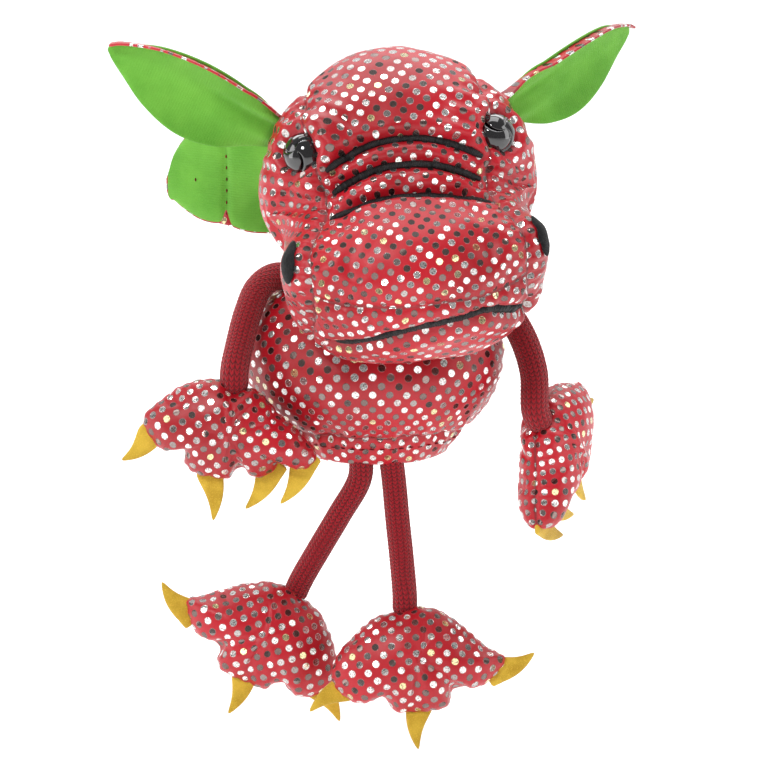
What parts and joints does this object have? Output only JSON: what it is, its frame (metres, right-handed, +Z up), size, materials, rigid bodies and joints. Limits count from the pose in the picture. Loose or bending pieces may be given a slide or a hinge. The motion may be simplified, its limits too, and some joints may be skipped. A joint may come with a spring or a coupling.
{
  "type": "finger puppet",
  "caption": "Stuffed dragon puppet worn on a finger, with a padded torso, large head, cord arms and legs, clawed paws, ears and wings.",
  "frame": {"origin": "centre of the finger opening, in the plane of the hem", "axes": "+Z up along the finger, -Y the way the puppet's belly faces, +X towards the puppet's own left"},
  "size_m": [0.1487, 0.1416, 0.1965],
  "materials": {
    "foil_dot_fabric": "red fabric with a shiny dot print",
    "green_velour": "short pile",
    "red_cord": "knitted cord",
    "red_lining": "plain weave",
    "yellow_felt": "felt",
    "black_thread": "embroidery thread",
    "black_felt": "felt",
    "eye_plastic": "glossy",
    "washer_plastic": "moulded",
    "stuffing_fibre": "polyester fibre"
  },
  "bodies": {
    "torso": {"torso_front_panel": "foil_dot_fabric", "torso_back_panel": "foil_dot_fabric", "torso_padding": "stuffing_fibre", "finger_lining": "red_lining", "hem_band": "foil_dot_fabric"},
    "neck": {"neck_tube": "foil_dot_fabric"},
    "head": {"head_gusset": "foil_dot_fabric", "jaw_panel": "foil_dot_fabric", "right_eye": "eye_plastic", "right_eye_washer": "washer_plastic", "right_cheek": "foil_dot_fabric", "right_nostril": "black_felt", "left_eye": "eye_plastic", "left_eye_washer": "washer_plastic", "left_cheek": "foil_dot_fabric", "left_nostril": "black_felt", "head_stuffing": "stuffing_fibre", "brow_line_1": "black_thread", "brow_line_2": "black_thread", "brow_line_3": "black_thread", "mouth_line": "black_thread"},
    "right_ear": {"right_ear_inner": "green_velour", "right_ear_outer": "foil_dot_fabric"},
    "right_wing": {"right_wing_front": "green_velour", "right_wing_back": "foil_dot_fabric"},
    "right_arm": {"right_arm_cord": "red_cord"},
    "right_hand": {"right_hand_back": "foil_dot_fabric", "right_hand_palm": "foil_dot_fabric", "right_hand_stuffing": "stuffing_fibre", "right_hand_claw_1": "yellow_felt", "right_hand_claw_2": "yellow_felt", "right_hand_claw_3": "yellow_felt", "right_hand_claw_4": "yellow_felt"},
    "right_leg": {"right_leg_cord": "red_cord"},
    "right_foot": {"right_foot_top": "foil_dot_fabric", "right_foot_sole": "foil_dot_fabric", "right_foot_stuffing": "stuffing_fibre", "right_foot_claw_1": "yellow_felt", "right_foot_claw_2": "yellow_felt", "right_foot_claw_3": "yellow_felt"},
    "left_ear": {"left_ear_inner": "green_velour", "left_ear_outer": "foil_dot_fabric"},
    "left_wing": {"left_wing_front": "green_velour", "left_wing_back": "foil_dot_fabric"},
    "left_arm": {"left_arm_cord": "red_cord"},
    "left_hand": {"left_hand_back": "foil_dot_fabric", "left_hand_palm": "foil_dot_fabric", "left_hand_stuffing": "stuffing_fibre", "left_hand_claw_1": "yellow_felt", "left_hand_claw_2": "yellow_felt", "left_hand_claw_3": "yellow_felt", "left_hand_claw_4": "yellow_felt"},
    "left_leg": {"left_leg_cord": "red_cord"},
    "left_foot": {"left_foot_top": "foil_dot_fabric", "left_foot_sole": "foil_dot_fabric", "left_foot_stuffing": "stuffing_fibre", "left_foot_claw_1": "yellow_felt", "left_foot_claw_2": "yellow_felt", "left_foot_claw_3": "yellow_felt"}
  },
  "joints": [
    {"name": "neck_turn", "type": "hinge", "parent": "torso", "child": "neck", "pos_m": [0.0025, 0.0085, 0.0615], "axis": [0, 0, 1], "range_deg": [-8, 8], "stiffness_Nm_per_rad": 0.02},
    {"name": "head_nod", "type": "hinge", "parent": "neck", "child": "head", "pos_m": [0.0025, 0.0085, 0.0615], "axis": [1, 0, 0], "range_deg": [-20, 5], "stiffness_Nm_per_rad": 0.06},
    {"name": "right_ear_flop", "type": "hinge", "parent": "head", "child": "right_ear", "pos_m": [-0.02801, -0.00911, 0.095], "axis": [-0.4164, 0.3596, -0.835], "range_deg": [-25, 25], "stiffness_Nm_per_rad": 0.005},
    {"name": "right_wing_flap", "type": "hinge", "parent": "torso", "child": "right_wing", "pos_m": [-0.008, 0.02801, 0.037], "axis": [0, 0, 1], "range_deg": [-25, 25], "stiffness_Nm_per_rad": 0.005},
    {"name": "right_shoulder", "type": "hinge", "parent": "torso", "child": "right_arm", "pos_m": [-0.028, 0.001, 0.0515], "axis": [-0.8211, 0.5708, 0], "range_deg": [-4, 45], "stiffness_Nm_per_rad": 0.01},
    {"name": "right_wrist", "type": "hinge", "parent": "right_arm", "child": "right_hand", "pos_m": [-0.0386, -0.022, 0.0293], "axis": [-1, 0, 0], "range_deg": [-5, 25], "stiffness_Nm_per_rad": 0.005},
    {"name": "right_hip", "type": "hinge", "parent": "torso", "child": "right_leg", "pos_m": [-0.0038, -0.0146, -0.0042], "axis": [-0.8211, 0.5708, 0], "range_deg": [-20, 45], "stiffness_Nm_per_rad": 0.01},
    {"name": "right_ankle", "type": "hinge", "parent": "right_leg", "child": "right_foot", "pos_m": [-0.021, -0.016, -0.0349], "axis": [-0.9062, 0, 0.4229], "range_deg": [-30, 8], "stiffness_Nm_per_rad": 0.005},
    {"name": "left_ear_flop", "type": "hinge", "parent": "head", "child": "left_ear", "pos_m": [0.03784, -0.00219, 0.10079], "axis": [-0.0845, -0.4594, 0.8842], "range_deg": [-25, 25], "stiffness_Nm_per_rad": 0.005},
    {"name": "left_wing_flap", "type": "hinge", "parent": "torso", "child": "left_wing", "pos_m": [0.008, 0.02801, 0.037], "axis": [0, 0, -1], "range_deg": [-25, 25], "stiffness_Nm_per_rad": 0.005},
    {"name": "left_shoulder", "type": "hinge", "parent": "torso", "child": "left_arm", "pos_m": [0.0285, 0.002, 0.051], "axis": [-0.8211, -0.5708, 0], "range_deg": [-5, 20], "stiffness_Nm_per_rad": 0.01},
    {"name": "left_wrist", "type": "hinge", "parent": "left_arm", "child": "left_hand", "pos_m": [0.046, -0.016, 0.0164], "axis": [-0.3512, -0.8029, -0.4817], "range_deg": [-30, 30], "stiffness_Nm_per_rad": 0.005},
    {"name": "left_hip", "type": "hinge", "parent": "torso", "child": "left_leg", "pos_m": [0.0059, -0.0146, -0.0042], "axis": [-0.8211, -0.5708, 0], "range_deg": [-4, 45], "stiffness_Nm_per_rad": 0.01},
    {"name": "left_ankle", "type": "hinge", "parent": "left_leg", "child": "left_foot", "pos_m": [0.009, -0.03, -0.034], "axis": [-1, 0, 0], "range_deg": [-12, 30], "stiffness_Nm_per_rad": 0.005}
  ]
}
